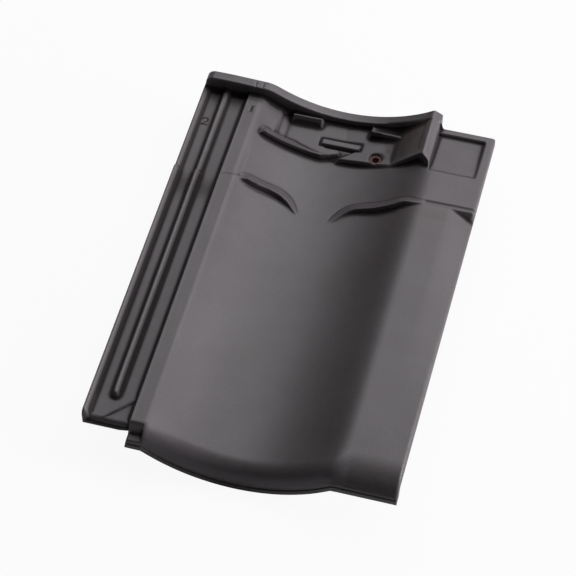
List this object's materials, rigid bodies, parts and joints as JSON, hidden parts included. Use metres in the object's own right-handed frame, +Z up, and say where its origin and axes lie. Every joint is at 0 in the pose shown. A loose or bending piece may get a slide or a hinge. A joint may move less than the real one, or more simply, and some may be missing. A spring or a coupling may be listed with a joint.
{
  "type": "interlocking clay roof tile",
  "caption": "Pressed clay roof tile: a hollow pan with a roll on its right, a ribbed side lock on its left, a head rib, a nail hole and hanging nibs.",
  "frame": {"origin": "middle of the tile's plan, on the floor that it lies on", "axes": "+Y along the tile from the nose to the head, +X across it from the side lock to the roll, +Z up"},
  "size_m": [0.26, 0.38, 0.0569],
  "materials": {
    "engobed_clay": "matt dark grey-brown engobe on fired clay"
  },
  "bodies": {
    "root": {"roof_tile": "engobed_clay"}
  },
  "joints": []
}
